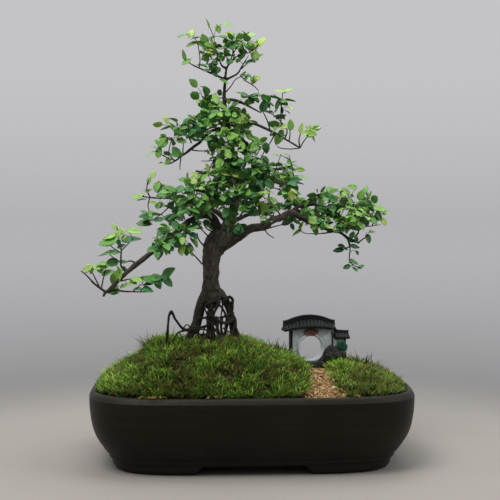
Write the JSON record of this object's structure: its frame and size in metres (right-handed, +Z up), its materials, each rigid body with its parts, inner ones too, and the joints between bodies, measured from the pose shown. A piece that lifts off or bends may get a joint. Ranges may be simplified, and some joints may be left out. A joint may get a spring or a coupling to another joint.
{
  "type": "bonsai tree in a pot",
  "caption": "Small-leaved bonsai with exposed roots on a moss mound in a shallow dark clay pot, with a gravel path and a miniature moon gate.",
  "frame": {"origin": "centre of the pot's footprint, on the surface that its feet stand on", "axes": "+Z up, +X to the right along the pot's long side, -Y to the front, where the gravel path meets the rim"},
  "size_m": [0.4, 0.3, 0.5608],
  "materials": {
    "pot_clay": "unglazed dark brown clay, matt, burnished rim",
    "net": "plain",
    "soil": "loose granular",
    "moss": "fine upright blades",
    "gravel": "loose tan chips",
    "gate_wall_glaze": "gloss glaze, pale grey-blue",
    "gate_roof_glaze": "gloss glaze, dark slate green",
    "gate_plaque_glaze": "gloss glaze, red brown",
    "gate_rock_glaze": "semi-gloss, dark olive grey",
    "gate_shrub_glaze": "gloss glaze, deep green",
    "bark": "rough bark, reddish on the roots",
    "leaf": "glossy living leaf"
  },
  "bodies": {
    "root": {"pot": "pot_clay", "drainage_mesh_left": "net", "drainage_mesh_right": "net", "soil": "soil", "moss_main": "moss", "moss_right": "moss", "gravel_path": "gravel", "gate_wall": "gate_wall_glaze", "gate_roof": "gate_roof_glaze", "gate_plaque": "gate_plaque_glaze", "gate_side_wall": "gate_wall_glaze", "gate_side_roof": "gate_roof_glaze", "gate_rock": "gate_rock_glaze", "gate_shrub": "gate_shrub_glaze", "gate_step": "gate_rock_glaze", "tree_wood": "bark", "leaves_apex": "leaf", "leaves_apex_left": "leaf", "leaves_upper": "leaf", "leaves_upper_right": "leaf", "leaves_left_mid": "leaf", "leaves_crown_back": "leaf", "leaves_crown_front": "leaf", "leaves_crown_left": "leaf", "leaves_pad_left": "leaf", "leaves_pad_right": "leaf", "leaves_low_back": "leaf", "leaves_right_hanging": "leaf", "leaves_low_left": "leaf", "leaves_low_right": "leaf"}
  },
  "joints": []
}
